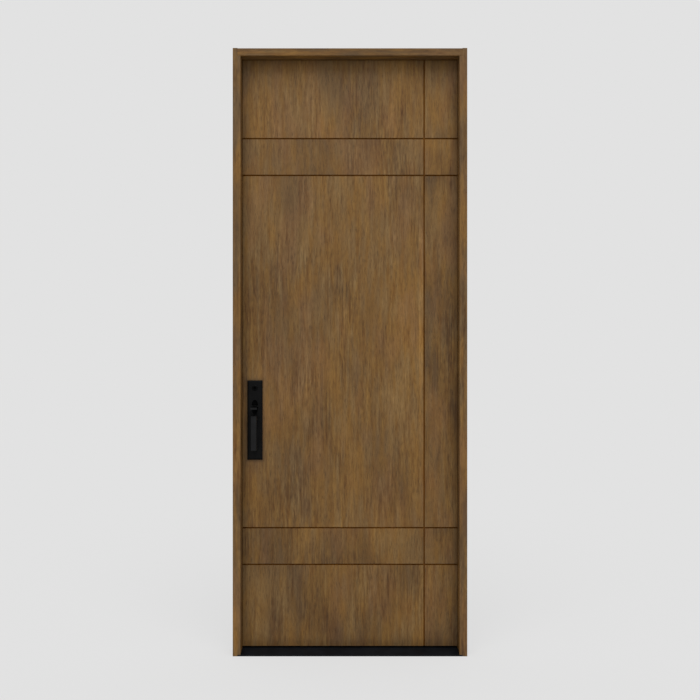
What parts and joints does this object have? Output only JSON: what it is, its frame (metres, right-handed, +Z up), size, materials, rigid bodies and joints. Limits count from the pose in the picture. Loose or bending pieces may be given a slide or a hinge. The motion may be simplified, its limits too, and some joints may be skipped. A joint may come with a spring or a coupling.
{
  "type": "prehung flush entry door",
  "caption": "Inswing wood-grain flush entry door with routed grooves, hung in a rabbeted wood frame over a low black sill, with a black grip handle and thumb latch.",
  "frame": {"origin": "on the sill's underside, midway across the frame and midway through its depth", "axes": "+X to the hinge side seen from outside, +Y into the building, +Z up"},
  "size_m": [0.9524, 0.174, 2.47],
  "materials": {
    "frame_wood": "satin walnut stain",
    "slab_wood": "satin walnut stain",
    "edge_wood": "satin walnut stain",
    "core_board": "bare board",
    "sill_substrate": "matte composite",
    "sill_metal": "black anodised",
    "seal_foam": "matte dark",
    "handle_metal": "matte black powder coat",
    "lock_metal": "matte black",
    "hinge_metal": "matte black"
  },
  "bodies": {
    "frame": {"strike_jamb_lower": "frame_wood", "strike_jamb_lock_block": "frame_wood", "strike_jamb_upper": "frame_wood", "hinge_jamb": "frame_wood", "head_jamb": "frame_wood", "sill_base": "sill_substrate", "sill_deck": "sill_metal", "sill_cap": "sill_metal", "weatherstrip_strike": "seal_foam", "weatherstrip_hinge": "seal_foam", "weatherstrip_head": "seal_foam", "strike_plate": "lock_metal", "hinge_1_jamb_leaf": "hinge_metal", "hinge_2_jamb_leaf": "hinge_metal", "hinge_3_jamb_leaf": "hinge_metal", "hinge_4_jamb_leaf": "hinge_metal", "hinge_1_pin": "hinge_metal", "hinge_2_pin": "hinge_metal", "hinge_3_pin": "hinge_metal", "hinge_4_pin": "hinge_metal"},
    "door": {"exterior_face": "slab_wood", "interior_face": "slab_wood", "lock_stile": "edge_wood", "hinge_stile": "edge_wood", "top_rail": "edge_wood", "bottom_rail": "edge_wood", "core": "core_board", "bottom_seal": "seal_foam", "exterior_plate": "handle_metal", "grip": "handle_metal", "lock_cylinder": "handle_metal", "lock_faceplate": "lock_metal", "latch_bolt": "lock_metal", "deadbolt": "lock_metal", "interior_plate": "handle_metal", "interior_lever": "handle_metal", "thumbturn": "handle_metal", "hinge_1_door_leaf": "hinge_metal", "hinge_2_door_leaf": "hinge_metal", "hinge_3_door_leaf": "hinge_metal", "hinge_4_door_leaf": "hinge_metal"},
    "thumb": {"thumb_piece": "handle_metal"}
  },
  "joints": [
    {"name": "door_swing", "type": "hinge", "parent": "frame", "child": "door", "pos_m": [0.4547, 0.066, 1.235], "axis": [0, 0, -1], "range_deg": [0, 170]},
    {"name": "thumb_press", "type": "hinge", "parent": "door", "child": "thumb", "pos_m": [-0.3919, 0.0095, 1.012], "axis": [1, 0, 0], "range_deg": [0, 15], "stiffness_Nm_per_rad": 0.8, "springref_deg": -5.73}
  ]
}
